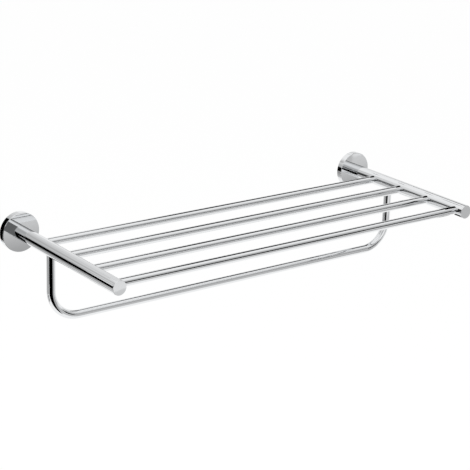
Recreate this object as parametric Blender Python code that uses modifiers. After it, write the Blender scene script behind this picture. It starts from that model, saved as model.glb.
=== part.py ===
"""Wall-hung towel rack: four shelf rails between two arms, with a bent towel bar below them.

X runs along the wall, -Y points from the wall into the room and +Z is up.
The origin lies on the wall, midway between the two arms and level with their axes.
Left and right are as seen by someone who faces the wall. Lengths are in metres.
"""

from math import cos, pi, radians, sin, sqrt

import bmesh
import bpy
from mathutils import Vector

OBJECT_NAME = "towel_rack_with_shelf"
SIDES = {"left": -1, "right": 1}

# Clearance between pieces that touch, and how far a cutter runs past what it cuts
FIT_GAP = 0.0003
CUT_OVERRUN = 0.002

# Arms: round tubes that stand out from the wall
ARM_SPACING = 0.600
ARM_REACH = 0.260
ARM_RADIUS = 0.010
ARM_WALL = 0.0015

# Flat cap that closes the front of an arm, with a plug inside the tube
CAP_FLANGE = 0.002
CAP_EDGE_CHAMFER = 0.0003
CAP_PLUG_LENGTH = 0.007

# Threaded insert in the rear of an arm
INSERT_TIP_CLEARANCE = 0.003
INSERT_END_WALL = 0.002
INSERT_CHAMFER = 0.0005

# Rosettes: hollow cups that cover the wall brackets and carry the arms
ROSETTE_RADIUS = 0.028
ROSETTE_DEPTH = 0.010
ROSETTE_FRONT_WALL = 0.002
ROSETTE_RIM_WALL = 0.0015
ROSETTE_CHAMFER = 0.0004

# Wall brackets: dished plates screwed to the wall inside the rosettes
BRACKET_PLATE = 0.003
BRACKET_RING_WALL = 0.004
BRACKET_HEAD_CLEARANCE = 0.003
WALL_SCREW_OFFSET = 0.0155
WALL_SCREW_HOLE_RADIUS = 0.0025
WALL_SCREW_SLOT_TRAVEL = 0.004

# Grub screw that locks a rosette to its bracket from below
GRUB_RADIUS = 0.002
GRUB_LENGTH = 0.006
GRUB_RECESS = 0.0003
GRUB_TIP_CHAMFER = 0.0008
GRUB_SOCKET_FLATS = 0.002
GRUB_SOCKET_DEPTH = 0.0022

# Cap screw and washer that clamp a rosette to the rear of its arm
ARM_SCREW_RADIUS = 0.003
ARM_SCREW_GRIP = 0.009
ARM_SCREW_HEAD_RADIUS = 0.005
ARM_SCREW_HEAD_HEIGHT = 0.0045
ARM_SCREW_HEAD_CHAMFER = 0.0004
ARM_SCREW_SOCKET_FLATS = 0.005
ARM_SCREW_SOCKET_DEPTH = 0.0025
WASHER_RADIUS = 0.006
WASHER_THICKNESS = 0.001

# Shelf rails, numbered from the wall, and the tube stock they share with the towel bar
RAIL_COUNT = 4
FIRST_RAIL_REACH = 0.064
LAST_RAIL_SETBACK = 0.016
RAIL_RADIUS = 0.006
RAIL_WALL = 0.001

# Towel bar: legs under the arms, joined by a run along the wall
BAR_REACH = 0.090
BAR_DROP = 0.101
BAR_BEND_RADIUS = 0.042

# Turned spigots, pressed into the rail and bar ends, with a tenon through the arm's wall
SPIGOT_BODY_LENGTH = 0.014
SPIGOT_CHAMFER = 0.0004
TENON_STEP = 0.001
TENON_REACH = 0.003

# Facet counts, the angle past which an edge stays sharp, and the welding distance
ARM_STEPS = 32
RAIL_STEPS = 24
ROSETTE_STEPS = 48
INNER_STEPS = 20
SCREW_STEPS = 12
SLOT_STEPS = 18
HEX_STEPS = 6
BAR_BEVEL_RESOLUTION = 10
BAR_BEND_STEPS = 9
SHARP_ANGLE = radians(35)
WELD_DISTANCE = 0.00001

# Sizes that follow from the ones above
ARM_OFFSET = ARM_SPACING / 2
ARM_ROOT = ROSETTE_DEPTH + FIT_GAP
ARM_BORE_RADIUS = ARM_RADIUS - ARM_WALL
ARM_PLUG_RADIUS = ARM_BORE_RADIUS - FIT_GAP
ARM_CLEARANCE_RADIUS = ARM_RADIUS + FIT_GAP
RAIL_PITCH = (ARM_REACH - LAST_RAIL_SETBACK - FIRST_RAIL_REACH) / (RAIL_COUNT - 1)
RAIL_BORE_RADIUS = RAIL_RADIUS - RAIL_WALL
TENON_RADIUS = RAIL_BORE_RADIUS - TENON_STEP
TENON_HOLE_RADIUS = TENON_RADIUS + FIT_GAP
ARM_SCREW_HOLE_RADIUS = ARM_SCREW_RADIUS + FIT_GAP
INSERT_BORE_DEPTH = ARM_SCREW_GRIP + INSERT_TIP_CLEARANCE
INSERT_LENGTH = INSERT_BORE_DEPTH + INSERT_END_WALL
GRUB_HOLE_RADIUS = GRUB_RADIUS + FIT_GAP
BRACKET_RADIUS = ROSETTE_RADIUS - ROSETTE_RIM_WALL - FIT_GAP
BRACKET_DEPTH = ROSETTE_DEPTH - ROSETTE_FRONT_WALL - FIT_GAP
BRACKET_CENTRE_HOLE_RADIUS = ARM_SCREW_HEAD_RADIUS + BRACKET_HEAD_CLEARANCE

# Colour, roughness and metallic value of each finish
FINISHES = {
    "chrome_plate": ((0.80, 0.81, 0.82, 1), 0.05, 1),
    "bare_brass": ((0.72, 0.56, 0.28, 1), 0.35, 1),
    "bracket_steel": ((0.56, 0.57, 0.58, 1), 0.38, 1),
    "screw_steel": ((0.60, 0.60, 0.61, 1), 0.28, 1),
}


def clear_scene():
    """Starts from an empty scene."""
    for item in list(bpy.data.objects):
        bpy.data.objects.remove(item, do_unlink=True)


def new_collection(name):
    """A collection linked under the scene."""
    group = bpy.data.collections.new(name)
    bpy.context.scene.collection.children.link(group)
    return group


def finish_material(piece_name, finish):
    """The piece's own material, in one of the rack's finishes."""
    colour, roughness, metallic = FINISHES[finish]
    material = bpy.data.materials.new(f"{piece_name}_{finish}")
    material.use_nodes = True
    shader = material.node_tree.nodes["Principled BSDF"]
    shader.inputs["Base Color"].default_value = colour
    shader.inputs["Roughness"].default_value = roughness
    shader.inputs["Metallic"].default_value = metallic
    return material


def add_object(name, mesh, group, location=(0, 0, 0), rotation=(0, 0, 0), parent=None):
    """Places a mesh in the scene, under its parent if it has one."""
    item = bpy.data.objects.new(name, mesh)
    group.objects.link(item)
    item.location = location
    item.rotation_euler = rotation
    item.parent = parent
    return item


def profile_mesh(name, profile, closed):
    """Edges through a turning profile's (radius, height) points."""
    bm = bmesh.new()
    corners = [bm.verts.new((radius, 0, height)) for radius, height in profile]
    for start, end in zip(corners, corners[1:]):
        bm.edges.new((start, end))
    if closed:
        bm.edges.new((corners[-1], corners[0]))
    mesh = bpy.data.meshes.new(name)
    bm.to_mesh(mesh)
    bm.free()
    return mesh


def turned_piece(name, profile, steps, finish, closed=False, **place):
    """Turns a profile about its Z axis; a closed profile leaves a hole through the piece."""
    piece = add_object(name, profile_mesh(name, profile, closed), PIECES, **place)
    turning = piece.modifiers.new("Turning", "SCREW")
    turning.axis = "Z"
    turning.steps = steps
    turning.render_steps = steps
    turning.use_merge_vertices = True
    turning.merge_threshold = WELD_DISTANCE
    piece.data.materials.append(finish_material(name, finish))
    return piece


def cutter_prism(name, radius, bottom, top, steps, slot_travel=0, **place):
    """A round or six-sided cutter along its Z axis; slot_travel draws it out along X."""
    bm = bmesh.new()
    bmesh.ops.create_cone(
        bm, cap_ends=True, segments=steps, radius1=radius, radius2=radius, depth=top - bottom
    )
    for corner in bm.verts:
        corner.co.z += (top + bottom) / 2
        corner.co.x += slot_travel / 2 * (1 if corner.co.x > 0 else -1)
    mesh = bpy.data.meshes.new(name)
    bm.to_mesh(mesh)
    bm.free()
    return as_cutter(add_object(name, mesh, CUTTERS, **place))


def as_cutter(item):
    """Shows a cutter as wires and keeps it out of renders."""
    item.hide_render = True
    item.display_type = "WIRE"
    return item


def cut(piece, *cutters):
    """Takes each cutter's volume out of the piece."""
    for cutter in cutters:
        boolean = piece.modifiers.new(f"Cut {cutter.name}", "BOOLEAN")
        boolean.operation = "DIFFERENCE"
        boolean.solver = "EXACT"
        boolean.object = cutter


def bake_shape(piece):
    """Keeps the shape that the modifiers give, shaded smooth between its sharp edges."""
    evaluated = piece.evaluated_get(bpy.context.evaluated_depsgraph_get())
    mesh = bpy.data.meshes.new_from_object(evaluated)
    mesh.name = piece.name
    mesh.shade_smooth()
    mesh.set_sharp_from_angle(angle=SHARP_ANGLE)
    piece.modifiers.clear()
    piece.data = mesh


def arm_axis(side_name):
    """An empty on the wall at an arm's axis, whose Z points along the arm into the room."""
    side = SIDES[side_name]
    return add_object(
        f"{side_name}_arm_axis",
        None,
        PIECES,
        location=(side * ARM_OFFSET, 0, 0),
        rotation=(pi / 2, 0, 0),
    )


def rail_reach(number):
    """Distance of a numbered rail's axis from the wall."""
    return FIRST_RAIL_REACH + (number - 1) * RAIL_PITCH


def build_wall_bracket(side_name, axis, grub_hole):
    """Dished plate with a stiff outer ring and two slots for the wall screws."""
    ring_bore = BRACKET_RADIUS - BRACKET_RING_WALL
    profile = [
        (ring_bore, BRACKET_DEPTH),
        (BRACKET_RADIUS, BRACKET_DEPTH),
        (BRACKET_RADIUS, 0),
        (BRACKET_CENTRE_HOLE_RADIUS, 0),
        (BRACKET_CENTRE_HOLE_RADIUS, BRACKET_PLATE),
        (ring_bore, BRACKET_PLATE),
    ]
    name = f"{side_name}_wall_bracket"
    bracket = turned_piece(name, profile, ROSETTE_STEPS, "bracket_steel", closed=True, parent=axis)
    for where, direction in (("upper", 1), ("lower", -1)):
        slot = cutter_prism(
            f"{side_name}_{where}_screw_slot",
            WALL_SCREW_HOLE_RADIUS,
            -CUT_OVERRUN,
            BRACKET_PLATE + CUT_OVERRUN,
            SLOT_STEPS,
            slot_travel=WALL_SCREW_SLOT_TRAVEL,
            location=(0, direction * WALL_SCREW_OFFSET, 0),
            parent=axis,
        )
        cut(bracket, slot)
    cut(bracket, grub_hole)
    return bracket


def build_rosette(side_name, axis, grub_hole):
    """Cup with a flat front, a small edge chamfer and a hole for the arm screw."""
    inner_radius = ROSETTE_RADIUS - ROSETTE_RIM_WALL
    front_inside = ROSETTE_DEPTH - ROSETTE_FRONT_WALL
    profile = [
        (ARM_SCREW_HOLE_RADIUS, ROSETTE_DEPTH),
        (ROSETTE_RADIUS - ROSETTE_CHAMFER, ROSETTE_DEPTH),
        (ROSETTE_RADIUS, ROSETTE_DEPTH - ROSETTE_CHAMFER),
        (ROSETTE_RADIUS, FIT_GAP),
        (inner_radius, FIT_GAP),
        (inner_radius, front_inside),
        (ARM_SCREW_HOLE_RADIUS, front_inside),
    ]
    name = f"{side_name}_rosette"
    rosette = turned_piece(name, profile, ROSETTE_STEPS, "chrome_plate", closed=True, parent=axis)
    cut(rosette, grub_hole)
    return rosette


def grub_hole_cutter(side_name, axis):
    """Round hole up through the rosette's rim and the bracket's ring."""
    tip = ROSETTE_RADIUS - GRUB_RECESS - GRUB_LENGTH
    return cutter_prism(
        f"{side_name}_grub_hole",
        GRUB_HOLE_RADIUS,
        tip - CUT_OVERRUN,
        ROSETTE_RADIUS + CUT_OVERRUN,
        SCREW_STEPS,
        location=(0, 0, BRACKET_DEPTH / 2),
        rotation=(pi / 2, 0, 0),
        parent=axis,
    )


def build_grub_screw(side_name, axis):
    """Headless screw whose six-sided socket faces down out of the rosette's rim."""
    place = {
        "location": (0, -(ROSETTE_RADIUS - GRUB_RECESS), BRACKET_DEPTH / 2),
        "rotation": (pi / 2, 0, 0),
        "parent": axis,
    }
    profile = [
        (0, 0),
        (GRUB_RADIUS, 0),
        (GRUB_RADIUS, GRUB_TIP_CHAMFER - GRUB_LENGTH),
        (GRUB_RADIUS - GRUB_TIP_CHAMFER, -GRUB_LENGTH),
        (0, -GRUB_LENGTH),
    ]
    screw = turned_piece(f"{side_name}_grub_screw", profile, SCREW_STEPS, "screw_steel", **place)
    socket = cutter_prism(
        f"{side_name}_grub_socket",
        GRUB_SOCKET_FLATS / sqrt(3),
        -GRUB_SOCKET_DEPTH,
        CUT_OVERRUN,
        HEX_STEPS,
        **place,
    )
    cut(screw, socket)
    return screw


def build_arm_screw(side_name, axis):
    """Cap screw from inside the rosette into the arm's insert, and the washer under its head."""
    washer_front = ROSETTE_DEPTH - ROSETTE_FRONT_WALL - FIT_GAP
    washer_back = washer_front - WASHER_THICKNESS
    head_front = washer_back - FIT_GAP
    head_back = head_front - ARM_SCREW_HEAD_HEIGHT
    tip = ARM_ROOT + ARM_SCREW_GRIP
    screw_profile = [
        (0, tip),
        (ARM_SCREW_RADIUS - ARM_SCREW_HEAD_CHAMFER, tip),
        (ARM_SCREW_RADIUS, tip - ARM_SCREW_HEAD_CHAMFER),
        (ARM_SCREW_RADIUS, head_front),
        (ARM_SCREW_HEAD_RADIUS, head_front),
        (ARM_SCREW_HEAD_RADIUS, head_back + ARM_SCREW_HEAD_CHAMFER),
        (ARM_SCREW_HEAD_RADIUS - ARM_SCREW_HEAD_CHAMFER, head_back),
        (0, head_back),
    ]
    screw = turned_piece(
        f"{side_name}_arm_screw", screw_profile, INNER_STEPS, "screw_steel", parent=axis
    )
    socket = cutter_prism(
        f"{side_name}_arm_screw_socket",
        ARM_SCREW_SOCKET_FLATS / sqrt(3),
        head_back - CUT_OVERRUN,
        head_back + ARM_SCREW_SOCKET_DEPTH,
        HEX_STEPS,
        parent=axis,
    )
    cut(screw, socket)
    washer_profile = [
        (ARM_SCREW_HOLE_RADIUS, washer_front),
        (WASHER_RADIUS, washer_front),
        (WASHER_RADIUS, washer_back),
        (ARM_SCREW_HOLE_RADIUS, washer_back),
    ]
    washer = turned_piece(
        f"{side_name}_arm_screw_washer",
        washer_profile,
        INNER_STEPS,
        "screw_steel",
        closed=True,
        parent=axis,
    )
    return [screw, washer]


def build_arm_insert(side_name, axis):
    """Plug in the rear of the arm, with a blind bore for the arm screw."""
    front = ARM_ROOT + INSERT_LENGTH
    bore_end = ARM_ROOT + INSERT_BORE_DEPTH
    profile = [
        (0, front),
        (ARM_PLUG_RADIUS - INSERT_CHAMFER, front),
        (ARM_PLUG_RADIUS, front - INSERT_CHAMFER),
        (ARM_PLUG_RADIUS, ARM_ROOT),
        (ARM_SCREW_HOLE_RADIUS, ARM_ROOT),
        (ARM_SCREW_HOLE_RADIUS, bore_end),
        (0, bore_end),
    ]
    return turned_piece(
        f"{side_name}_arm_insert", profile, INNER_STEPS, "bare_brass", parent=axis
    )


def build_arm_tube(side_name, axis):
    """Plain tube from rosette to end cap, drilled for the rail and towel bar tenons."""
    front = ARM_REACH - CAP_FLANGE - FIT_GAP
    profile = [
        (ARM_BORE_RADIUS, front),
        (ARM_RADIUS, front),
        (ARM_RADIUS, ARM_ROOT),
        (ARM_BORE_RADIUS, ARM_ROOT),
    ]
    tube = turned_piece(
        f"{side_name}_arm_tube", profile, ARM_STEPS, "chrome_plate", closed=True, parent=axis
    )
    side = SIDES[side_name]
    for number in range(1, RAIL_COUNT + 1):
        hole = cutter_prism(
            f"{side_name}_rail_{number}_hole",
            TENON_HOLE_RADIUS,
            0,
            ARM_RADIUS + CUT_OVERRUN,
            INNER_STEPS,
            location=(0, 0, rail_reach(number)),
            rotation=(0, -side * pi / 2, 0),
            parent=axis,
        )
        cut(tube, hole)
    leg_hole = cutter_prism(
        f"{side_name}_leg_hole",
        TENON_HOLE_RADIUS,
        0,
        ARM_RADIUS + CUT_OVERRUN,
        INNER_STEPS,
        location=(0, 0, BAR_REACH),
        rotation=(pi / 2, 0, 0),
        parent=axis,
    )
    cut(tube, leg_hole)
    return tube


def build_arm_end_cap(side_name, axis):
    """Flat disc flush with the arm, with a plug that sits inside the tube."""
    flange_back = ARM_REACH - CAP_FLANGE
    plug_end = flange_back - CAP_PLUG_LENGTH
    profile = [
        (0, ARM_REACH),
        (ARM_RADIUS - CAP_EDGE_CHAMFER, ARM_REACH),
        (ARM_RADIUS, ARM_REACH - CAP_EDGE_CHAMFER),
        (ARM_RADIUS, flange_back),
        (ARM_PLUG_RADIUS, flange_back),
        (ARM_PLUG_RADIUS, plug_end),
        (0, plug_end),
    ]
    return turned_piece(
        f"{side_name}_arm_end_cap", profile, ARM_STEPS, "chrome_plate", parent=axis
    )


def arm_clearance_cutter(side_name, axis):
    """The room an arm needs, which gives rail and leg ends their saddle shape."""
    return cutter_prism(
        f"{side_name}_arm_clearance",
        ARM_CLEARANCE_RADIUS,
        0,
        ARM_REACH + CUT_OVERRUN,
        ARM_STEPS,
        parent=axis,
    )


def build_shelf_rail(number, saddles):
    """Tube along the wall that reaches from one arm's side to the other's."""
    profile = [
        (RAIL_BORE_RADIUS, ARM_OFFSET),
        (RAIL_RADIUS, ARM_OFFSET),
        (RAIL_RADIUS, -ARM_OFFSET),
        (RAIL_BORE_RADIUS, -ARM_OFFSET),
    ]
    rail = turned_piece(
        f"shelf_rail_{number}",
        profile,
        RAIL_STEPS,
        "chrome_plate",
        closed=True,
        location=(0, -rail_reach(number), 0),
        rotation=(0, pi / 2, 0),
    )
    cut(rail, *saddles)
    return rail


def build_spigot(name, location, rotation):
    """Stepped plug: its body fills a tube's end and its tenon points along its own Z."""
    body_radius = RAIL_BORE_RADIUS - FIT_GAP
    tenon_end = FIT_GAP + ARM_WALL + TENON_REACH
    profile = [
        (0, tenon_end),
        (TENON_RADIUS - SPIGOT_CHAMFER, tenon_end),
        (TENON_RADIUS, tenon_end - SPIGOT_CHAMFER),
        (TENON_RADIUS, 0),
        (body_radius, 0),
        (body_radius, SPIGOT_CHAMFER - SPIGOT_BODY_LENGTH),
        (body_radius - SPIGOT_CHAMFER, -SPIGOT_BODY_LENGTH),
        (0, -SPIGOT_BODY_LENGTH),
    ]
    return turned_piece(
        name, profile, INNER_STEPS, "bare_brass", location=location, rotation=rotation
    )


def bar_centreline(overrun):
    """Down the left leg, round both bends and up the right leg, in the towel bar's plane."""
    corner_x = ARM_OFFSET - BAR_BEND_RADIUS
    corner_z = BAR_BEND_RADIUS - BAR_DROP
    points = [Vector((-ARM_OFFSET, 0, overrun))]
    for side, start_angle in ((-1, pi), (1, 3 * pi / 2)):
        for step in range(BAR_BEND_STEPS + 1):
            angle = start_angle + pi / 2 * step / BAR_BEND_STEPS
            x = side * corner_x + BAR_BEND_RADIUS * cos(angle)
            z = corner_z + BAR_BEND_RADIUS * sin(angle)
            points.append(Vector((x, 0, z)))
    points.append(Vector((ARM_OFFSET, 0, overrun)))
    return points


def bent_rod(name, radius, overrun, group):
    """A solid rod along the towel bar's centreline, as a mesh with welded end caps."""
    curve = bpy.data.curves.new(name, "CURVE")
    curve.dimensions = "3D"
    curve.bevel_depth = radius
    curve.bevel_resolution = BAR_BEVEL_RESOLUTION
    curve.use_fill_caps = True
    points = bar_centreline(overrun)
    spline = curve.splines.new("POLY")
    spline.points.add(len(points) - 1)
    for knot, point in zip(spline.points, points):
        knot.co = (*point, 1)
    guide = add_object(f"{name}_guide", curve, group, location=(0, -BAR_REACH, 0))
    bpy.context.view_layer.update()
    evaluated = guide.evaluated_get(bpy.context.evaluated_depsgraph_get())
    mesh = bpy.data.meshes.new_from_object(evaluated)
    bm = bmesh.new()
    bm.from_mesh(mesh)
    bmesh.ops.remove_doubles(bm, verts=bm.verts, dist=WELD_DISTANCE)
    bm.to_mesh(mesh)
    bm.free()
    rod = add_object(name, mesh, group)
    rod.matrix_world = guide.matrix_world
    bpy.data.objects.remove(guide, do_unlink=True)
    return rod


def build_towel_bar(saddles):
    """Bent tube whose two legs end in saddles under the arms."""
    bar = bent_rod("towel_bar", RAIL_RADIUS, 0, PIECES)
    bar.data.materials.clear()
    bar.data.materials.append(finish_material("towel_bar", "chrome_plate"))
    bore = as_cutter(bent_rod("towel_bar_bore", RAIL_BORE_RADIUS, CUT_OVERRUN, CUTTERS))
    cut(bar, bore, *saddles)
    return bar


def build_arm_side(side_name):
    """Everything on one arm's axis, from the wall bracket to the end cap."""
    axis = arm_axis(side_name)
    grub_hole = grub_hole_cutter(side_name, axis)
    pieces = [
        build_wall_bracket(side_name, axis, grub_hole),
        build_rosette(side_name, axis, grub_hole),
        build_grub_screw(side_name, axis),
        build_arm_insert(side_name, axis),
        build_arm_tube(side_name, axis),
        build_arm_end_cap(side_name, axis),
    ]
    pieces += build_arm_screw(side_name, axis)
    return pieces, arm_clearance_cutter(side_name, axis)


def build_rack():
    """All pieces of the rack, with their shapes baked."""
    pieces = []
    saddles = []
    for side_name in SIDES:
        side_pieces, saddle = build_arm_side(side_name)
        pieces += side_pieces
        saddles.append(saddle)
    for number in range(1, RAIL_COUNT + 1):
        pieces.append(build_shelf_rail(number, saddles))
        for side_name, side in SIDES.items():
            shoulder = side * (ARM_OFFSET - ARM_CLEARANCE_RADIUS)
            place = (shoulder, -rail_reach(number), 0)
            pieces.append(
                build_spigot(f"rail_{number}_{side_name}_spigot", place, (0, side * pi / 2, 0))
            )
    pieces.append(build_towel_bar(saddles))
    for side_name, side in SIDES.items():
        place = (side * ARM_OFFSET, -BAR_REACH, -ARM_CLEARANCE_RADIUS)
        pieces.append(build_spigot(f"towel_bar_{side_name}_spigot", place, (0, 0, 0)))
    bpy.context.view_layer.update()
    for piece in pieces:
        bake_shape(piece)


clear_scene()
PIECES = new_collection(OBJECT_NAME)
CUTTERS = new_collection(f"{OBJECT_NAME}_cutters")
build_rack()
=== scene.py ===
from math import cos, pi, radians, sin, sqrt, tan

import bmesh
import bpy
from mathutils import Euler, Matrix, Vector
from mathutils.geometry import interpolate_bezier


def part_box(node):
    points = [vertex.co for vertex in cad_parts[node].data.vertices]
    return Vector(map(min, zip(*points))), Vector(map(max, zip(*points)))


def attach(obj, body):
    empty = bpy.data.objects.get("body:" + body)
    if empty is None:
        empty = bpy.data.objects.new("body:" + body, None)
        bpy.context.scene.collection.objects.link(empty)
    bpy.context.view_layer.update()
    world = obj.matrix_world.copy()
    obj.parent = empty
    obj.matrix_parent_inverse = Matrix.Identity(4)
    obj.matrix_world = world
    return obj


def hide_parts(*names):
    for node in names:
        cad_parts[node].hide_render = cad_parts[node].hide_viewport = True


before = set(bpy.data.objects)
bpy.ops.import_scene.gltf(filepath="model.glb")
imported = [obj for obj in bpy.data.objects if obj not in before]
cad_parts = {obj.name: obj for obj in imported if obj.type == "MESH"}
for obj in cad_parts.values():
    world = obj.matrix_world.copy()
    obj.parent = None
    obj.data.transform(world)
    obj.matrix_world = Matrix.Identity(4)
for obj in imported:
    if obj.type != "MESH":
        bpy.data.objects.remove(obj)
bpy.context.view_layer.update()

# Every piece is modelled in metres, in the rack's own frame: X along the wall, -Y out of it, +Z up.
ALONG_WALL = Vector((1, 0, 0))
OUT_OF_WALL = Vector((0, -1, 0))
UP = Vector((0, 0, 1))
SIDES = {"left": -1, "right": 1}

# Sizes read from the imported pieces
ARM_BACK, ARM_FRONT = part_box("right_arm_tube")
CAP_LOW, CAP_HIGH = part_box("right_arm_end_cap")
CUP_LOW, CUP_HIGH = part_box("right_rosette")
RING_LOW, RING_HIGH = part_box("right_wall_bracket")
RAIL_LOW, RAIL_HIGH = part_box("shelf_rail_1")
BAR_LOW, BAR_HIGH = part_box("towel_bar")
GRUB_LOW, GRUB_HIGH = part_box("right_grub_screw")
SCREW_LOW, SCREW_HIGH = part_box("right_arm_screw")
WASHER_LOW, WASHER_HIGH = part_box("right_arm_screw_washer")
INSERT_LOW, INSERT_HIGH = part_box("right_arm_insert")
ARM_X = (ARM_BACK.x + ARM_FRONT.x) / 2
ARM_RADIUS = (ARM_FRONT.x - ARM_BACK.x) / 2
ARM_REACH = -CAP_LOW.y
CUP_RADIUS = (CUP_HIGH.x - CUP_LOW.x) / 2
CUP_DEPTH = -CUP_LOW.y
CUP_BACK = -CUP_HIGH.y
RING_RADIUS = (RING_HIGH.x - RING_LOW.x) / 2
RING_DEPTH = -RING_LOW.y
RAIL_RADIUS = (RAIL_HIGH.z - RAIL_LOW.z) / 2
RAIL_NODES = sorted(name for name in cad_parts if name.startswith("shelf_rail_"))
RAIL_REACHES = [-(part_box(name)[0].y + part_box(name)[1].y) / 2 for name in RAIL_NODES]
SPIGOT_NODES = sorted(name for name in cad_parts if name.endswith("_spigot"))
GRUB_Y = -(GRUB_LOW.y + GRUB_HIGH.y) / 2
BAR_Y = (BAR_LOW.y + BAR_HIGH.y) / 2
BAR_Z = BAR_LOW.z + RAIL_RADIUS

# Sizes that the boxes don't show, the same as in the construction
ARM_WALL = 0.0015
RAIL_WALL = 0.001
BAR_BEND_RADIUS = 0.042
CAP_FLANGE = 0.002
CAP_PLUG_LENGTH = 0.007
CUP_FRONT_WALL = 0.002
CUP_RIM_WALL = 0.0015
BRACKET_PLATE = 0.003
BRACKET_RING_WALL = 0.004
BRACKET_HOLE_RADIUS = 0.008
SLOT_OFFSET = 0.0155
SLOT_RADIUS = 0.0025
SLOT_TRAVEL = 0.004
GRUB_HOLE_RADIUS = 0.0023
GRUB_SOCKET_FLATS = 0.002
GRUB_SOCKET_DEPTH = 0.0022
SCREW_HOLE_RADIUS = 0.0033
SCREW_RADIUS = 0.003
SCREW_HEAD_RADIUS = 0.005
SCREW_HEAD_HEIGHT = 0.0045
SCREW_SOCKET_FLATS = 0.005
SCREW_SOCKET_DEPTH = 0.0025
INSERT_BORE_DEPTH = 0.012
TENON_RADIUS = 0.004
TENON_HOLE_RADIUS = 0.0043
TENON_LENGTH = 0.0048

# Extra rings of a turned outline that frame a hole, as shares of the radius of the hole or tenon
GRUB_HOLE_FRAME = 1.2
TENON_FRAME = 1.25

# Threads: distance from turn to turn, how deep the grooves are, and where in a turn its crest and groove lie
GRUB_PITCH = 0.0007
SCREW_PITCH = 0.001
GROOVE_SHARE = 0.14
CREST_AT = 0.3
GROOVE_AT = 0.8

# Hairline seams that close the construction's clearances, and the rounding of edges
SEAM = 0.00006
HAIR_EDGE = 0.00012
FINE_EDGE = 0.00035
ROSETTE_EDGE = 0.0006
PRESSED_EDGE = 0.0008
EDGE_STEPS = 4
ROUND_HANDLE = 0.5523

# Facets of each turned piece
ARM_STEPS = 128
RAIL_STEPS = 96
CUP_STEPS = 192
BEND_STEPS = 48
SMALL_STEPS = 64
KNURL_STEPS = 96
HEX_STEPS = 6
WELD = 0.000001
CREASE_ANGLE = radians(28)

# The photograph's camera: millimetres for the lens, degrees for its three turns
LENS_LENGTH = 117.567
SENSOR_WIDTH = 36
CAMERA_AZIMUTH = -37.158
CAMERA_ELEVATION = 18.804
CAMERA_ROLL = 2.034
CAMERA_PLACE = (-1.26521, -1.76671, 0.68266)
CAMERA_RANGE = 100

# The floor, and how much of it is plain white to the eye and in the metal
FLOOR_Z = -2
FLOOR_REACH = 60
FLOOR_WHITE_SHARE = 0.8

# The lamp
KEY_LAMP_PLACE = (-1.5, -2.0, 2.5)
KEY_LAMP_SIZE = 1.5
KEY_LAMP_POWER = 80

# The studio's round wall; cards that start below the limit hang on a nearer one, above the floor
STUDIO_CENTRE = Vector((0, -ARM_REACH / 2, 0))
STUDIO_RADIUS = 4
LOW_RADIUS = 2.2
LOW_CARD_LIMIT = -26
RING_STEPS = 72

# Flat cards in front of the rack: where their ends stand on the plan
FRONT_CARD_ENDS = (-0.1, -1), (1.5, -1)
CAP_CARD_ENDS = (0.98, -0.98), (1.15, -0.98)
LOW_SHADE_ENDS = (1.0, -0.98), (1.6, -0.98)
LEFT_LOW_FLAG_ENDS = (-1.86, -0.45), (-0.137, -0.7)
BAR_CARD_ENDS = (-0.25, -0.12), (0.28, -0.12)
BAR_MIDDLE = Vector((0, BAR_Y, BAR_Z))

# Small cards near the left arm's root that paint dark and grey reflections in the chrome: round the
# rosette's rim, and both out from the wall
RIM_CARD_GAP = 0.0008
RIM_CARD_DEPTHS = (-0.002, 0.0085)
ROOT_CARD_REACH = 0.077
ROOT_SHADE_RADIUS = 0.0537
ROOT_SHADE_INNER_X = -0.305
ROOT_REFLECTION_X = (-0.4, -0.354)

# Small cards near the right arm that paint dark reflections in the chrome: at the rails' ends, inside the
# arm's lower side and below it
END_REFLECTION_CARD_LENGTH, END_REFLECTION_CARD_TOP = 0.014, 0.02
FRONT_END_REFLECTION_CARD_LENGTH, FRONT_END_REFLECTION_CARD_TOP = 0.036, 0.032
ARM_PAINTED_LINE_X = 0.283
CORNER_PAINTED_REFLECTION_X = 0.2885
ARM_CARD_FRONT_Y = -0.258
ARM_LOW_REFLECTION_X = (0.284, 0.305)
ARM_LOW_REFLECTION_Y = (-0.222, -0.242)
ARM_LOW_REFLECTION_Z = -0.03
FLOOR_SHADE_Z = -1.9


def metal(name, colour, roughness, haze_scale, relief_scale, relief_depth, grain=(1, 1, 1)):
    """A metal whose haze and fine relief follow noise, drawn out along the axes where grain is small."""
    material = bpy.data.materials.new(name)
    material.use_nodes = True
    nodes, link = material.node_tree.nodes, material.node_tree.links.new
    shader = nodes["Principled BSDF"]
    shader.inputs["Base Color"].default_value = (*colour, 1)
    shader.inputs["Metallic"].default_value = 1
    place = nodes.new("ShaderNodeTexCoord")
    stretch = nodes.new("ShaderNodeMapping")
    stretch.inputs["Scale"].default_value = grain
    haze = nodes.new("ShaderNodeTexNoise")
    haze.inputs["Scale"].default_value = haze_scale
    haze.inputs["Detail"].default_value = 4
    spread = nodes.new("ShaderNodeMapRange")
    spread.inputs["From Min"].default_value = 0.3
    spread.inputs["From Max"].default_value = 0.7
    spread.inputs["To Min"].default_value = roughness[0]
    spread.inputs["To Max"].default_value = roughness[1]
    wave = nodes.new("ShaderNodeTexNoise")
    wave.inputs["Scale"].default_value = relief_scale
    wave.inputs["Detail"].default_value = 1
    relief = nodes.new("ShaderNodeBump")
    relief.inputs["Strength"].default_value = 0.35
    relief.inputs["Distance"].default_value = relief_depth
    link(place.outputs["Object"], haze.inputs["Vector"])
    link(place.outputs["Object"], stretch.inputs["Vector"])
    link(stretch.outputs["Vector"], wave.inputs["Vector"])
    link(haze.outputs["Fac"], spread.inputs["Value"])
    link(spread.outputs["Result"], shader.inputs["Roughness"])
    link(wave.outputs["Fac"], relief.inputs["Height"])
    link(relief.outputs["Normal"], shader.inputs["Normal"])
    return material


def turned_metal(name, colour, roughness, haze_scale, relief_scale, axis):
    """A metal with the fine rings that a lathe leaves, round the named axis."""
    grain = [1 if letter == axis else 0.05 for letter in "XYZ"]
    return metal(name, colour, roughness, haze_scale, relief_scale, 0.00001, grain)


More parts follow.
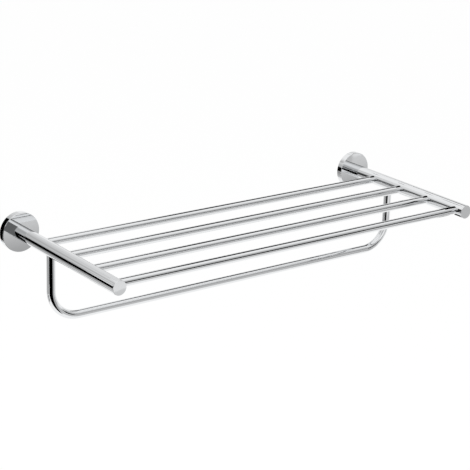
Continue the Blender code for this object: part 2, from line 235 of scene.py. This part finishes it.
BRASS_COLOUR = (0.72, 0.56, 0.28)
SCREW_COLOUR = (0.60, 0.60, 0.61)
CHROME = metal("chrome_plate", (0.80, 0.81, 0.82), (0.02, 0.05), 45, 90, 0.00003)
PRESSED_STEEL = metal("pressed_steel", (0.56, 0.57, 0.58), (0.3, 0.46), 120, 900, 0.00002, (0.08, 1, 1))
SCREW_STEEL = turned_metal("screw_steel", SCREW_COLOUR, (0.2, 0.36), 300, 3000, "Y")
SCREW_STEEL_UPRIGHT = turned_metal("screw_steel_upright", SCREW_COLOUR, (0.2, 0.36), 300, 3000, "Z")
BRASS = {
    axis: turned_metal(f"turned_brass_{axis.lower()}", BRASS_COLOUR, (0.25, 0.42), 200, 2500, axis)
    for axis in "XYZ"
}


def rounded_outline(corners, closed):
    """Points along (radius, along, rounding) corners, each rounded by a short arc."""
    points = []
    for number, (radius, along, rounding) in enumerate(corners):
        corner = Vector((radius, along, 0))
        at_end = not closed and number in (0, len(corners) - 1)
        if not rounding or at_end:
            points.append(corner)
            continue
        before = Vector((*corners[number - 1][:2], 0))
        after = Vector((*corners[(number + 1) % len(corners)][:2], 0))
        start = corner + (before - corner).normalized() * rounding
        end = corner + (after - corner).normalized() * rounding
        handles = start.lerp(corner, ROUND_HANDLE), end.lerp(corner, ROUND_HANDLE)
        points += interpolate_bezier(start, *handles, end, EDGE_STEPS + 1)
    return points


def turned(corners, centre, axis, outward, steps, closed=False):
    """Turns an outline about an axis through the centre, into a closed shape."""
    shape = bmesh.new()
    points = rounded_outline(corners, closed)
    knots = [shape.verts.new(centre + outward * p.x + axis * p.y) for p in points]
    pairs = list(zip(knots, knots[1:]))
    if closed:
        pairs.append((knots[-1], knots[0]))
    edges = [shape.edges.new(pair) for pair in pairs]
    bmesh.ops.spin(
        shape,
        geom=knots + edges,
        cent=centre,
        axis=axis,
        angle=2 * pi,
        steps=steps,
        use_merge=True,
    )
    bmesh.ops.remove_doubles(shape, verts=shape.verts, dist=WELD)
    bmesh.ops.recalc_face_normals(shape, faces=shape.faces)
    return shape


def rod(start, end, radius, steps):
    """A straight rod between two points, to cut a hole or socket with."""
    shape = bmesh.new()
    direction = end - start
    place = Matrix.Translation((start + end) / 2) @ direction.to_track_quat("Z", "Y").to_matrix().to_4x4()
    bmesh.ops.create_cone(
        shape,
        cap_ends=True,
        segments=steps,
        radius1=radius,
        radius2=radius,
        depth=direction.length,
        matrix=place,
    )
    return shape


def loose_object(name, shape):
    mesh = bpy.data.meshes.new(name)
    shape.to_mesh(mesh)
    shape.free()
    item = bpy.data.objects.new(name, mesh)
    bpy.context.scene.collection.objects.link(item)
    return item


def with_holes(shape, cutters):
    """The shape with each cutter's volume taken out of it, closed and the same in every run."""
    body = loose_object("uncut", shape)
    tools = [loose_object("cutter", cutter) for cutter in cutters]
    for tool in tools:
        hole = body.modifiers.new("Hole", "BOOLEAN")
        hole.solver = "MANIFOLD"
        hole.object = tool
    evaluated = body.evaluated_get(bpy.context.evaluated_depsgraph_get())
    result = bmesh.new()
    result.from_mesh(evaluated.to_mesh())
    for item in [body, *tools]:
        bpy.data.objects.remove(item, do_unlink=True)
    return result


def finished(name, shape, material, slot, *nodes):
    """Makes the shape a piece of the rack that stands for its construction nodes."""
    mesh = bpy.data.meshes.new(name)
    shape.to_mesh(mesh)
    shape.free()
    mesh.shade_smooth()
    mesh.set_sharp_from_angle(angle=CREASE_ANGLE)
    mesh.materials.append(material)
    piece = bpy.data.objects.new(name, mesh)
    bpy.context.scene.collection.objects.link(piece)
    weights = piece.modifiers.new("Even shading", "WEIGHTED_NORMAL")
    weights.keep_sharp = True
    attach(piece, "root")
    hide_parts(*nodes)


def arm_centre(side_name):
    """Where an arm's axis meets the wall."""
    return Vector((SIDES[side_name] * ARM_X, 0, 0))


def grub_hole(side_name):
    """Cutter for the hole up through the rosette's rim and the bracket's ring."""
    centre = arm_centre(side_name) + OUT_OF_WALL * GRUB_Y
    outside = centre - UP * (CUP_RADIUS + ARM_WALL)
    return rod(outside, centre - UP * (CUP_RADIUS / 2), GRUB_HOLE_RADIUS, SMALL_STEPS)


def build_bracket(side_name):
    """Pressed steel dish with two slots for the wall screws."""
    ring_bore = RING_RADIUS - BRACKET_RING_WALL
    corners = [
        (ring_bore, RING_DEPTH, FINE_EDGE),
        (RING_RADIUS, RING_DEPTH, PRESSED_EDGE),
        (RING_RADIUS, 0, FINE_EDGE),
        (BRACKET_HOLE_RADIUS, 0, HAIR_EDGE),
        (BRACKET_HOLE_RADIUS, BRACKET_PLATE, FINE_EDGE),
        (ring_bore, BRACKET_PLATE, PRESSED_EDGE),
    ]
    centre = arm_centre(side_name)
    shape = turned(corners, centre, OUT_OF_WALL, UP, CUP_STEPS, closed=True)
    cutters = [grub_hole(side_name)]
    for direction in (1, -1):
        middle = centre + UP * (direction * SLOT_OFFSET)
        through = OUT_OF_WALL * RING_DEPTH
        slot = rod(middle - through, middle + through, SLOT_RADIUS, SMALL_STEPS)
        for corner in slot.verts:
            corner.co.x += SLOT_TRAVEL / 2 * (1 if corner.co.x > middle.x else -1)
        cutters.append(slot)
    shape = with_holes(shape, cutters)
    finished(f"{side_name}_bracket", shape, PRESSED_STEEL, "bracket_steel", f"{side_name}_wall_bracket")


def build_rosette(side_name):
    """Chrome cup with a flat mirror front, a softly rounded rim and a grub screw hole below."""
    inside = CUP_RADIUS - CUP_RIM_WALL
    hole_frame = GRUB_HOLE_FRAME * GRUB_HOLE_RADIUS
    corners = [
        (SCREW_HOLE_RADIUS, CUP_DEPTH, HAIR_EDGE),
        (CUP_RADIUS, CUP_DEPTH, ROSETTE_EDGE),
        (CUP_RADIUS, GRUB_Y + hole_frame, 0),
        (CUP_RADIUS, GRUB_Y - hole_frame, 0),
        (CUP_RADIUS, CUP_BACK, HAIR_EDGE),
        (inside, CUP_BACK, HAIR_EDGE),
        (inside, CUP_DEPTH - CUP_FRONT_WALL, FINE_EDGE),
        (SCREW_HOLE_RADIUS, CUP_DEPTH - CUP_FRONT_WALL, HAIR_EDGE),
    ]
    shape = turned(corners, arm_centre(side_name), OUT_OF_WALL, UP, CUP_STEPS, closed=True)
    shape = with_holes(shape, [grub_hole(side_name)])
    finished(f"{side_name}_rosette_shell", shape, CHROME, "chrome_plate", f"{side_name}_rosette")


def threaded(crest, start, end, pitch):
    """Corners of a thread's turns, from its start to its end along the screw."""
    turns = int(abs(end - start) / pitch)
    step = (end - start) / turns
    corners = []
    for turn in range(turns):
        corners.append((crest, start + step * (turn + CREST_AT), 0))
        corners.append((crest * (1 - GROOVE_SHARE), start + step * (turn + GROOVE_AT), 0))
    return corners


def build_grub_screw(side_name):
    """Headless screw with a six-sided socket that faces down out of the rosette."""
    radius = (GRUB_HIGH.x - GRUB_LOW.x) / 2
    centre = arm_centre(side_name) + OUT_OF_WALL * GRUB_Y
    outer, tip = -GRUB_LOW.z, -GRUB_HIGH.z
    corners = [(0, outer, 0), (radius * (1 - GROOVE_SHARE), outer, 0)]
    corners += threaded(radius, outer - HAIR_EDGE, tip + radius / 2, GRUB_PITCH)
    corners += [(radius / 2, tip, FINE_EDGE), (0, tip, 0)]
    shape = turned(corners, centre, -UP, ALONG_WALL, SMALL_STEPS)
    mouth = centre - UP * outer
    socket = rod(mouth - UP * outer, mouth + UP * GRUB_SOCKET_DEPTH, GRUB_SOCKET_FLATS / sqrt(3), HEX_STEPS)
    shape = with_holes(shape, [socket])
    finished(f"{side_name}_grub", shape, SCREW_STEEL_UPRIGHT, "screw_steel", f"{side_name}_grub_screw")


def build_arm_screw(side_name):
    """Cap screw with a knurled head, a six-sided socket and a threaded shank."""
    centre = arm_centre(side_name)
    back, tip = -SCREW_HIGH.y, -SCREW_LOW.y
    seat = back + SCREW_HEAD_HEIGHT
    corners = [
        (0, back, 0),
        (SCREW_HEAD_RADIUS, back, FINE_EDGE),
        (SCREW_HEAD_RADIUS, seat, HAIR_EDGE),
        (SCREW_RADIUS, seat, 0),
        (SCREW_RADIUS, CUP_DEPTH, 0),
    ]
    corners += threaded(SCREW_RADIUS, CUP_DEPTH, tip - FINE_EDGE, SCREW_PITCH)
    corners += [(SCREW_RADIUS * (1 - GROOVE_SHARE), tip, 0), (0, tip, 0)]
    shape = turned(corners, centre, OUT_OF_WALL, UP, KNURL_STEPS)
    for corner in shape.verts:
        spoke = corner.co - centre
        spoke.y = 0
        notch = round(spoke.angle(UP, 0) / (2 * pi) * KNURL_STEPS) % 2
        if notch and spoke.length > SCREW_HEAD_RADIUS - HAIR_EDGE:
            corner.co -= spoke.normalized() * HAIR_EDGE
    mouth = centre + OUT_OF_WALL * back
    deep = mouth + OUT_OF_WALL * SCREW_SOCKET_DEPTH
    socket = rod(mouth - OUT_OF_WALL * back, deep, SCREW_SOCKET_FLATS / sqrt(3), HEX_STEPS)
    shape = with_holes(shape, [socket])
    finished(f"{side_name}_cap_screw", shape, SCREW_STEEL, "screw_steel", f"{side_name}_arm_screw")


def build_washer(side_name):
    """Flat punched ring under the cap screw's head."""
    radius = (WASHER_HIGH.x - WASHER_LOW.x) / 2
    back, front = -WASHER_HIGH.y, -WASHER_LOW.y
    corners = [
        (SCREW_HOLE_RADIUS, front, HAIR_EDGE),
        (radius, front, FINE_EDGE),
        (radius, back, HAIR_EDGE),
        (SCREW_HOLE_RADIUS, back, FINE_EDGE),
    ]
    shape = turned(corners, arm_centre(side_name), OUT_OF_WALL, UP, SMALL_STEPS, closed=True)
    finished(f"{side_name}_washer", shape, SCREW_STEEL, "screw_steel", f"{side_name}_arm_screw_washer")


def build_insert(side_name):
    """Brass plug in the rear of the arm, bored for the cap screw."""
    radius = (INSERT_HIGH.x - INSERT_LOW.x) / 2
    back, front = -INSERT_HIGH.y, -INSERT_LOW.y
    corners = [
        (0, front, 0),
        (radius, front, FINE_EDGE),
        (radius, back, HAIR_EDGE),
        (SCREW_HOLE_RADIUS, back, FINE_EDGE),
        (SCREW_HOLE_RADIUS, back + INSERT_BORE_DEPTH, HAIR_EDGE),
        (0, back + INSERT_BORE_DEPTH, 0),
    ]
    shape = turned(corners, arm_centre(side_name), OUT_OF_WALL, UP, SMALL_STEPS)
    finished(f"{side_name}_insert", shape, BRASS["Y"], "bare_brass", f"{side_name}_arm_insert")


def build_spigot(node):
    """Stepped brass plug from a tube's end into the arm's wall."""
    low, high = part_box(node)
    middle = (low + high) / 2
    upright = node.startswith("towel_bar")
    axis = UP if upright else ALONG_WALL * (1 if middle.x > 0 else -1)
    half = abs((high - low).dot(axis)) / 2
    radius = (high.y - low.y) / 2
    corners = [
        (0, half, 0),
        (TENON_RADIUS, half, FINE_EDGE),
        (TENON_RADIUS, half - TENON_LENGTH, 0),
        (radius, half - TENON_LENGTH, HAIR_EDGE),
        (radius, -half, FINE_EDGE),
        (0, -half, 0),
    ]
    shape = turned(corners, middle, axis, OUT_OF_WALL, SMALL_STEPS)
    finished(f"{node}_plug", shape, BRASS["Z" if upright else "X"], "bare_brass", node)


def build_arm(side_name):
    """Polished tube from the rosette to its end cap, with holes for the tenons under the tube ends."""
    root = CUP_DEPTH + SEAM
    front = ARM_REACH - CAP_FLANGE - SEAM
    bore = ARM_RADIUS - ARM_WALL
    tenon_reaches = sorted([*RAIL_REACHES, -BAR_Y])
    outside = []
    for reach in reversed(tenon_reaches):
        for edge in (reach + TENON_RADIUS * TENON_FRAME, reach - TENON_RADIUS * TENON_FRAME):
            outside.append((ARM_RADIUS, edge, 0))
    corners = [
        (bore, front, HAIR_EDGE),
        (ARM_RADIUS, front, HAIR_EDGE),
        *outside,
        (ARM_RADIUS, root, HAIR_EDGE),
        (bore, root, HAIR_EDGE),
    ]
    centre = arm_centre(side_name)
    shape = turned(corners, centre, OUT_OF_WALL, UP, ARM_STEPS, closed=True)
    inward = ALONG_WALL * -SIDES[side_name]
    cutters = []
    for reach in tenon_reaches:
        middle = centre + OUT_OF_WALL * reach
        direction = -UP if reach == -BAR_Y else inward
        cutters.append(rod(middle, middle + direction * ARM_RADIUS * 2, TENON_HOLE_RADIUS, SMALL_STEPS))
    shape = with_holes(shape, cutters)
    finished(f"{side_name}_arm", shape, CHROME, "chrome_plate", f"{side_name}_arm_tube")


def build_end_cap(side_name):
    """Flat polished disc with a plug that goes into the arm."""
    back = ARM_REACH - CAP_FLANGE
    plug_end = back - CAP_PLUG_LENGTH
    plug_radius = ARM_RADIUS - ARM_WALL - SEAM
    corners = [
        (0, ARM_REACH, 0),
        (ARM_RADIUS, ARM_REACH, FINE_EDGE),
        (ARM_RADIUS, back, HAIR_EDGE),
        (plug_radius, back, 0),
        (plug_radius, plug_end, FINE_EDGE),
        (0, plug_end, 0),
    ]
    shape = turned(corners, arm_centre(side_name), OUT_OF_WALL, UP, ARM_STEPS)
    finished(f"{side_name}_end_cap", shape, CHROME, "chrome_plate", f"{side_name}_arm_end_cap")


def saddle_rise(offset):
    """How far past the arm's nearest point a tube's end reaches, at this offset from its middle."""
    seat = ARM_RADIUS + SEAM
    return seat - sqrt(seat * seat - offset * offset)


def build_rail(node):
    """Shelf rail whose two ends are coped to sit on the round arms."""
    low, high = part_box(node)
    centre = Vector((0, (low.y + high.y) / 2, (low.z + high.z) / 2))
    end = ARM_X - ARM_RADIUS - SEAM
    bore = RAIL_RADIUS - RAIL_WALL
    corners = [
        (bore, end, HAIR_EDGE),
        (RAIL_RADIUS, end, HAIR_EDGE),
        (RAIL_RADIUS, -end, HAIR_EDGE),
        (bore, -end, HAIR_EDGE),
    ]
    shape = turned(corners, centre, ALONG_WALL, UP, RAIL_STEPS, closed=True)
    for corner in shape.verts:
        direction = 1 if corner.co.x > 0 else -1
        corner.co.x += direction * saddle_rise(corner.co.z - centre.z)
    finished(f"{node}_tube", shape, CHROME, "chrome_plate", node)


def bar_surface(shape, radius):
    """Sweeps one ring down the left leg, along the run and up the right leg; returns both end rings."""
    leg_top = -ARM_RADIUS - SEAM
    bend_z = BAR_Z + BAR_BEND_RADIUS
    run_end = ARM_X - BAR_BEND_RADIUS
    start = Matrix.Translation((-ARM_X, BAR_Y, leg_top))
    ring = bmesh.ops.create_circle(shape, segments=RAIL_STEPS, radius=radius, matrix=start)["verts"]
    first = list({edge for corner in ring for edge in corner.link_edges})
    last = first
    for action in ("down", "bend", "along", "bend", "up"):
        if action == "bend":
            side = -1 if last[0].verts[0].co.x < 0 else 1
            turn = bmesh.ops.spin(
                shape,
                geom=list({corner for edge in last for corner in edge.verts}) + last,
                cent=(side * run_end, BAR_Y, bend_z),
                axis=OUT_OF_WALL,
                angle=pi / 2,
                steps=BEND_STEPS,
            )
            last = [item for item in turn["geom_last"] if isinstance(item, bmesh.types.BMEdge)]
            continue
        travel = {
            "down": UP * (bend_z - leg_top),
            "along": ALONG_WALL * (2 * run_end),
            "up": UP * (leg_top - bend_z),
        }[action]
        grown = bmesh.ops.extrude_edge_only(shape, edges=last)["geom"]
        last = [item for item in grown if isinstance(item, bmesh.types.BMEdge)]
        moved = list({corner for edge in last for corner in edge.verts})
        bmesh.ops.translate(shape, verts=moved, vec=travel)
    return first, last


def build_towel_bar():
    """One bent tube: two legs coped to the arms from below and the run between them."""
    shape = bmesh.new()
    outer_ends = bar_surface(shape, RAIL_RADIUS)
    inner_ends = bar_surface(shape, RAIL_RADIUS - RAIL_WALL)
    for outer, inner in zip(outer_ends, inner_ends):
        bmesh.ops.bridge_loops(shape, edges=outer + inner)
    for corner in shape.verts:
        if corner.co.z > -ARM_RADIUS - 2 * SEAM:
            corner.co.z += saddle_rise(abs(corner.co.x) - ARM_X)
    bmesh.ops.recalc_face_normals(shape, faces=shape.faces)
    finished("towel_bar_tube", shape, CHROME, "chrome_plate", "towel_bar")


def build_camera():
    """A long lens at the photograph's place, turned slightly about its own axis."""
    lens = bpy.data.cameras.new("camera")
    lens.lens = LENS_LENGTH
    lens.sensor_width = SENSOR_WIDTH
    lens.clip_end = CAMERA_RANGE
    camera = bpy.data.objects.new("camera", lens)
    camera.location = CAMERA_PLACE
    aim = Euler((pi / 2 - radians(CAMERA_ELEVATION), 0, radians(CAMERA_AZIMUTH))).to_matrix()
    turn = aim @ Matrix.Rotation(radians(CAMERA_ROLL), 3, "Z")
    camera.rotation_euler = turn.to_euler()
    bpy.context.scene.collection.objects.link(camera)
    bpy.context.scene.camera = camera


def glow_material(name, lower, upper, heights, one_sided):
    """A glow that changes with height from its lower to its upper brightness, on one side or both."""
    material = bpy.data.materials.new(name)
    material.use_nodes = True
    nodes, link = material.node_tree.nodes, material.node_tree.links.new
    nodes.clear()
    glow = nodes.new("ShaderNodeEmission")
    place = nodes.new("ShaderNodeTexCoord")
    split = nodes.new("ShaderNodeSeparateXYZ")
    spread = nodes.new("ShaderNodeMapRange")
    spread.interpolation_type = "SMOOTHSTEP"
    spread.inputs["From Min"].default_value = heights[0]
    spread.inputs["From Max"].default_value = heights[1]
    spread.inputs["To Min"].default_value = lower
    spread.inputs["To Max"].default_value = upper
    output = nodes.new("ShaderNodeOutputMaterial")
    link(place.outputs["Object"], split.inputs["Vector"])
    link(split.outputs["Z"], spread.inputs["Value"])
    link(spread.outputs["Result"], glow.inputs["Strength"])
    link(glow.outputs["Emission"], output.inputs["Surface"])
    if one_sided:
        side = nodes.new("ShaderNodeNewGeometry")
        clear = nodes.new("ShaderNodeBsdfTransparent")
        blend = nodes.new("ShaderNodeMixShader")
        link(side.outputs["Backfacing"], blend.inputs["Fac"])
        link(glow.outputs["Emission"], blend.inputs[1])
        link(clear.outputs["BSDF"], blend.inputs[2])
        link(blend.outputs["Shader"], output.inputs["Surface"])
    return material


def mirrored_only(name, shape, lower, upper, towards=None):
    """A card that shows in the rack's metal and nowhere else, from one side if it faces a point: a studio
    card far off, a painted reflection close to the rack.
    """
    heights = [corner.co.z for corner in shape.verts]
    for face in shape.faces:
        face.normal_update()
        if towards and face.normal.dot(towards - face.calc_center_median()) < 0:
            face.normal_flip()
    mesh = bpy.data.meshes.new(name)
    shape.to_mesh(mesh)
    shape.free()
    glow = glow_material(name, lower, upper, (min(heights), max(heights)), towards is not None)
    mesh.materials.append(glow)
    card = bpy.data.objects.new(name, mesh)
    bpy.context.scene.collection.objects.link(card)
    card.visible_camera = False
    card.visible_diffuse = False
    card.visible_shadow = False
    card.visible_transmission = False


def arc(centre, distance, azimuths, heights):
    """Part of an upright round wall about a centre; azimuth 0 faces the rack's front and 90 its right."""
    first, last = (radians(value) for value in azimuths)
    shape = bmesh.new()
    reach = Vector((sin(first), -cos(first), 0)) * distance
    knots = [shape.verts.new(centre + reach + UP * height) for height in heights]
    edge = shape.edges.new(knots)
    bmesh.ops.spin(
        shape,
        geom=[*knots, edge],
        cent=centre,
        axis=UP,
        angle=last - first,
        steps=RING_STEPS,
    )
    return shape


def round_card(name, azimuths, elevations, lower, upper):
    """A card on the round studio wall, nearer where it would reach below the floor."""
    distance = STUDIO_RADIUS if elevations[0] > LOW_CARD_LIMIT else LOW_RADIUS
    heights = [distance * tan(radians(value)) for value in elevations]
    mirrored_only(name, arc(STUDIO_CENTRE, distance, azimuths, heights), lower, upper)


def flat_card(name, edges, lower, upper, towards=None):
    """A flat card between two edges, each given by its two end points."""
    shape = bmesh.new()
    borders = [shape.edges.new([shape.verts.new(point) for point in edge]) for edge in edges]
    bmesh.ops.bridge_loops(shape, edges=borders)
    mirrored_only(name, shape, lower, upper, towards)


def upright_card(name, ends, heights, lower, upper, towards=None):
    """A flat upright card between two points on the plan and two heights."""
    edges = [[(*point, height) for point in ends] for height in heights]
    flat_card(name, edges, lower, upper, towards)


def rim_card(side_name, angles, brightness):
    """A curved card close round a rosette's rim that paints a dark reflection on it; angle 0 is the rim's
    outer side and 90 its top.
    """
    first, last = (radians(value) for value in angles)
    side, centre = SIDES[side_name], arm_centre(side_name)
    spoke = (ALONG_WALL * (side * cos(first)) + UP * sin(first)) * (CUP_RADIUS + RIM_CARD_GAP)
    shape = bmesh.new()
    knots = [shape.verts.new(centre + spoke + OUT_OF_WALL * depth) for depth in RIM_CARD_DEPTHS]
    bmesh.ops.spin(
        shape,
        geom=[*knots, shape.edges.new(knots)],
        cent=centre,
        axis=OUT_OF_WALL,
        angle=side * (last - first),
        steps=RING_STEPS,
    )
    mirrored_only(f"{side_name}_rim_painted_dark_reflection", shape, brightness, brightness, towards=centre)


def root_shade(brightness):
    """Outer half of a small disc round the left arm that shows only from the rosette's side."""
    shape = bmesh.new()
    place = Matrix.Translation((-ARM_X, -ROOT_CARD_REACH, 0)) @ Matrix.Rotation(pi / 2, 4, "X")
    bmesh.ops.create_circle(
        shape, cap_ends=True, segments=RING_STEPS, radius=ROOT_SHADE_RADIUS, matrix=place
    )
    bmesh.ops.bisect_plane(
        shape,
        geom=[*shape.verts, *shape.edges, *shape.faces],
        plane_co=(ROOT_SHADE_INNER_X, 0, 0),
        plane_no=ALONG_WALL,
        clear_outer=True,
    )
    mirrored_only("left_arm_shade", shape, brightness, brightness, towards=arm_centre("left"))


def build_left_cards():
    """Left wall of the studio, mirrored by the arms."""
    round_card("left_horizon_flag", (-160, -138), (-13.5, 6.5), 0, 0)
    round_card("far_left_horizon_flag", (-138, -120), (-8, 11), 0, 0)
    round_card("left_low_sky", (-165, -140), (6.5, 19), 0.5, 0.58)
    round_card("left_middle_sky", (-165, -148), (19, 27), 0.58, 0.52)
    round_card("left_high_sky", (-170, -148), (27, 42), 0.5, 1)
    round_card("far_left_low_sky", (-140, -120), (11, 19), 0.65, 0.65)
    round_card("far_left_middle_sky", (-148, -120), (19, 30), 0.68, 0.85)
    round_card("left_floor_grey", (-166, -142.5), (-25.9, -13.5), 0.42, 0.25)
    round_card("left_low_floor_grey", (-165, -150), (-42, -25.9), 0.75, 0.42)
    round_card("far_left_floor_grey", (-142.5, -120), (-25.9, -13.5), 0.76, 0.6)
    round_card("far_left_low_floor_grey", (-150, -120), (-45, -25.9), 0.72, 0.76)


def build_rear_cards():
    """Upper wall behind the rack, mirrored by the tops of the arms."""
    round_card("behind_sky", (150, 168), (22, 38.5), 0.8, 0.85)
    round_card("behind_middle_sky", (168, 180), (24, 38.5), 0.72, 0.78)
    round_card("behind_left_sky", (180, 190), (26, 38.5), 0.6, 0.7)


def build_front_left_cards():
    """Front left wall, mirrored by the rosettes, the arms' roots and the towel bar's legs."""
    round_card("front_left_horizon_flag", (-42, -20), (-13.5, 3.5), 0, 0)
    round_card("front_far_left_horizon_flag", (-85, -42), (-20, 20), 0, 0)
    round_card("front_left_low_sky", (-42, -15), (3.5, 27), 0.62, 0.55)
    round_card("side_flag", (-120, -95), (-25.9, 48), 0.2, 0.2)
    round_card("low_side_flag", (-120, -95), (-42, -26), 0.2, 0.2)
    round_card("front_left_high_sky", (-60, -10), (27, 42), 0.5, 1)
    round_card("front_left_floor_grey", (-60, -14), (-25.9, -13.5), 0.42, 0.36)


def build_right_cards():
    """Right wall of the studio, mirrored by the rails, the towel bar and the right arm."""
    round_card("front_right_horizon_flag", (20, 40), (-8, 11), 0, 0)
    round_card("far_right_horizon_flag", (40, 60), (-5, 12), 0, 0)
    round_card("front_right_sky", (20, 95), (11, 50), 0.42, 1)
    round_card("high_right_flag", (105, 142), (29, 57), 0, 0)
    round_card("behind_right_sky", (125, 150), (-5, 29), 0.8, 0.8)


def build_front_cards():
    """Flat cards in front of the rack, mirrored by the lower halves of the rails, the caps and the legs."""
    upright_card("front_low_grey", FRONT_CARD_ENDS, (-0.9, -0.45), 0.8, 0.45)
    upright_card("front_fading_grey", FRONT_CARD_ENDS, (-0.45, -0.342), 0.42, 0.71)
    upright_card("front_upper_grey", FRONT_CARD_ENDS, (-0.342, -0.15), 0.88, 0.5)
    upright_card("right_cap_grey", CAP_CARD_ENDS, (-0.36, -0.3), 0.56, 0.56)
    upright_card("front_right_low_shade", LOW_SHADE_ENDS, (-1.1, -0.75), 0.33, 0.33)
    upright_card("front_left_low_flag", LEFT_LOW_FLAG_ENDS, (-1.0, -0.15), 0, 0)
    # Grey strip close to the bar that paints a grey band in its reflection
    upright_card("bar_painted_reflection_band", BAR_CARD_ENDS, (-0.106, -0.0925), 0.64, 0.42, BAR_MIDDLE)


def build_rail_end_painted_reflections():
    """Short dark cards over the rails' right ends, seen only in the rails, where they paint dark
    reflections.
    """
    for rail_node, reach in zip(RAIL_NODES, RAIL_REACHES):
        at_front = rail_node == RAIL_NODES[-1]
        length = FRONT_END_REFLECTION_CARD_LENGTH if at_front else END_REFLECTION_CARD_LENGTH
        top = FRONT_END_REFLECTION_CARD_TOP if at_front else END_REFLECTION_CARD_TOP
        middle_x, front_y = ARM_X - ARM_RADIUS / 2, -reach - ARM_RADIUS / 2
        ends = (middle_x, front_y), (middle_x, front_y + length)
        # Black card that paints a dark reflection on the rail's right end
        upright_card(f"{rail_node}_end_painted_dark_reflection", ends, (RAIL_RADIUS, top), 0, 0, STUDIO_CENTRE)


def build_right_arm_cards():
    """Low cards that paint the right arm's dark line, its shade and its front corner into its reflection."""
    low_shade = [[(x, y, FLOOR_SHADE_Z) for x in (left, 2.8)] for left, y in ((1.95, -0.7), (2.0, -1.35))]
    flat_card("low_right_shade", low_shade, 0.42, 0.42)
    # Black card just below the arm that paints a dark reflection on its lower side
    low_reflection_edges = [[(x, y, ARM_LOW_REFLECTION_Z) for x in ARM_LOW_REFLECTION_X] for y in ARM_LOW_REFLECTION_Y]
    flat_card("right_arm_painted_low_reflection", low_reflection_edges, 0, 0)
    centre = arm_centre("right")
    # Dark card beside the arm's inner side that paints the dark line along it as a reflection
    line_ends = (ARM_PAINTED_LINE_X, ARM_CARD_FRONT_Y), (ARM_PAINTED_LINE_X, -0.012)
    upright_card("right_arm_painted_dark_line", line_ends, (0.0022, 0.0058), 0.1, 0.1, centre)
    # Black card that paints a dark reflection at the arm's front corner
    corner_ends = (CORNER_PAINTED_REFLECTION_X, ARM_CARD_FRONT_Y), (CORNER_PAINTED_REFLECTION_X, -0.2502)
    upright_card("right_corner_painted_dark_reflection", corner_ends, (0.0022, 0.0062), 0, 0, centre)


def build_left_root_cards():
    """Cards round the left arm's root that paint reflections: the dark rim, and what the rosette shows
    beside the arm.
    """
    # Black card that paints the dark arc reflected on the rosette's rim
    rim_card("left", (-17, 52), 0)
    reflection_ends = [(x, -ROOT_CARD_REACH) for x in ROOT_REFLECTION_X]
    # Grey card that paints what the rosette reflects beside the arm
    upright_card("left_root_painted_reflection", reflection_ends, (-0.1, -0.026), 0.7, 0.36, arm_centre("left"))
    root_shade(0.16)


def build_floor():
    """Plain pale floor below the hung rack, white to the eye and in the metal, with the rack's shadow."""
    shape = bmesh.new()
    bmesh.ops.create_grid(shape, x_segments=1, y_segments=1, size=FLOOR_REACH)
    bmesh.ops.translate(shape, verts=shape.verts, vec=UP * FLOOR_Z)
    mesh = bpy.data.meshes.new("floor")
    shape.to_mesh(mesh)
    shape.free()
    material = bpy.data.materials.new("pale_floor")
    material.use_nodes = True
    nodes, link = material.node_tree.nodes, material.node_tree.links.new
    shader = nodes["Principled BSDF"]
    shader.inputs["Base Color"].default_value = (0.95, 0.95, 0.95, 1)
    shader.inputs["Roughness"].default_value = 0.9
    shader.inputs["Specular IOR Level"].default_value = 0
    ray = nodes.new("ShaderNodeLightPath")
    seen = nodes.new("ShaderNodeMath")
    seen.operation = "MAXIMUM"
    seen_through = nodes.new("ShaderNodeMath")
    seen_through.operation = "MAXIMUM"
    share = nodes.new("ShaderNodeMath")
    share.operation = "MULTIPLY"
    share.inputs[1].default_value = FLOOR_WHITE_SHARE
    white = nodes.new("ShaderNodeEmission")
    white.inputs["Strength"].default_value = 1
    blend = nodes.new("ShaderNodeMixShader")
    link(ray.outputs["Is Camera Ray"], seen.inputs[0])
    link(ray.outputs["Is Glossy Ray"], seen.inputs[1])
    link(seen.outputs["Value"], seen_through.inputs[0])
    link(ray.outputs["Is Transmission Ray"], seen_through.inputs[1])
    link(seen_through.outputs["Value"], share.inputs[0])
    link(share.outputs["Value"], blend.inputs["Fac"])
    link(shader.outputs["BSDF"], blend.inputs[1])
    link(white.outputs["Emission"], blend.inputs[2])
    link(blend.outputs["Shader"], nodes["Material Output"].inputs["Surface"])
    mesh.materials.append(material)
    floor = bpy.data.objects.new("floor", mesh)
    bpy.context.scene.collection.objects.link(floor)


def build_world():
    """Even white studio light from all round."""
    world = bpy.data.worlds.new("pale_studio")
    world.use_nodes = True
    bpy.context.scene.world = world
    tree = world.node_tree
    background = tree.nodes["Background"]
    background.inputs["Color"].default_value = (1, 1, 1, 1)
    background.inputs["Strength"].default_value = 1


def build_lamp(name, place, size, power):
    """A soft square lamp that faces the rack and stays out of its reflections."""
    light = bpy.data.lights.new(name, "AREA")
    light.size = size
    light.energy = power
    lamp = bpy.data.objects.new(name, light)
    lamp.location = place
    lamp.rotation_euler = (STUDIO_CENTRE - Vector(place)).to_track_quat("-Z", "Y").to_euler()
    lamp.visible_glossy = False
    bpy.context.scene.collection.objects.link(lamp)


for side_name in SIDES:
    build_bracket(side_name)
    build_rosette(side_name)
    build_grub_screw(side_name)
    build_arm_screw(side_name)
    build_washer(side_name)
    build_insert(side_name)
    build_arm(side_name)
    build_end_cap(side_name)
for rail_node in RAIL_NODES:
    build_rail(rail_node)
build_towel_bar()
for spigot_node in SPIGOT_NODES:
    build_spigot(spigot_node)
build_camera()
build_world()
build_floor()
build_left_cards()
build_rear_cards()
build_front_left_cards()
build_right_cards()
build_front_cards()
build_rail_end_painted_reflections()
build_right_arm_cards()
build_left_root_cards()
build_lamp("key_lamp", KEY_LAMP_PLACE, KEY_LAMP_SIZE, KEY_LAMP_POWER)

bpy.context.scene.view_settings.view_transform = "Standard"
